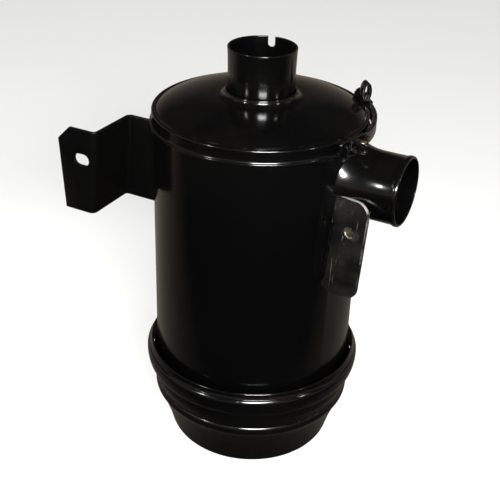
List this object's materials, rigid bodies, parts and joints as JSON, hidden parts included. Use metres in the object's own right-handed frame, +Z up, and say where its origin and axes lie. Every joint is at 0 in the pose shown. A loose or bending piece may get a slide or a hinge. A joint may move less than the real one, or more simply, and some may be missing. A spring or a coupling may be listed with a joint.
{
  "type": "oil bath air filter housing",
  "caption": "Round black steel air filter housing with top inlet neck, angled side outlet, mounting brackets, lever-lock cover and stepped oil bowl.",
  "frame": {"origin": "centre of the oil bowl's foot, on the canister's axis, where the housing rests on a surface", "axes": "+Z up the canister's axis towards the inlet neck; +X to the outlet's side and -X to the folded bracket's side; -Y is the front"},
  "size_m": [0.2646, 0.1806, 0.333],
  "materials": {
    "gloss_black_paint": "gloss",
    "worn_black_paint": "worn satin",
    "zinc_plate": "yellow zinc",
    "black_rubber": "matte",
    "bare_steel": "mill finish",
    "wire_mesh": "crimped wire"
  },
  "bodies": {
    "canister": {"canister_shell": "gloss_black_paint", "outlet_pipe": "gloss_black_paint", "left_bracket": "gloss_black_paint", "right_bracket": "worn_black_paint", "right_weld_nut": "zinc_plate", "down_tube": "gloss_black_paint", "lower_grid": "bare_steel", "middle_grid": "bare_steel", "upper_grid": "bare_steel", "lower_mesh_pack": "wire_mesh", "upper_mesh_pack": "wire_mesh"},
    "cover_assembly": {"cover": "gloss_black_paint", "inlet_neck": "gloss_black_paint", "cover_seal": "black_rubber", "tube_seal": "black_rubber", "cover_ring": "gloss_black_paint", "cover_lever_bracket": "gloss_black_paint", "cover_lever_pin": "zinc_plate", "cover_lock_catch": "gloss_black_paint"},
    "cover_lever": {"cover_lock_lever": "gloss_black_paint"},
    "cover_loop": {"cover_lock_loop": "gloss_black_paint"},
    "bowl_assembly": {"oil_bowl": "gloss_black_paint", "oil_cup": "bare_steel", "bowl_gasket": "black_rubber", "bowl_band": "gloss_black_paint", "bowl_lever_bracket": "gloss_black_paint", "bowl_lever_pin": "zinc_plate", "bowl_lock_catch": "gloss_black_paint"},
    "bowl_lever": {"bowl_lock_lever": "gloss_black_paint"},
    "bowl_loop": {"bowl_lock_loop": "gloss_black_paint"}
  },
  "joints": [
    {"name": "cover_lift", "type": "slide", "parent": "canister", "child": "cover_assembly", "axis": [0, 0, 1], "range_m": [0, 0.12]},
    {"name": "cover_lever_swing", "type": "hinge", "parent": "cover_assembly", "child": "cover_lever", "pos_m": [0.07132, -0.05572, 0.281], "axis": [0, 0, -1], "range_deg": [0, 130]},
    {"name": "cover_loop_turn", "type": "hinge", "parent": "cover_lever", "child": "cover_loop", "pos_m": [0.07287, -0.04642, 0.281], "axis": [0, 0, -1], "range_deg": [-130, 0]},
    {"name": "bowl_drop", "type": "slide", "parent": "canister", "child": "bowl_assembly", "axis": [0, 0, -1], "range_m": [0, 0.1]},
    {"name": "bowl_lever_swing", "type": "hinge", "parent": "bowl_assembly", "child": "bowl_lever", "pos_m": [0.0453, 0.0852, 0.077], "axis": [0, 0, -1], "range_deg": [0, 130]},
    {"name": "bowl_loop_turn", "type": "hinge", "parent": "bowl_lever", "child": "bowl_loop", "pos_m": [0.03536, 0.08537, 0.077], "axis": [0, 0, -1], "range_deg": [-130, 0]}
  ],
  "couplings": [
    {"joint": "cover_loop_turn", "follows": "cover_lever_swing", "ratio": -1},
    {"joint": "bowl_loop_turn", "follows": "bowl_lever_swing", "ratio": -1}
  ]
}
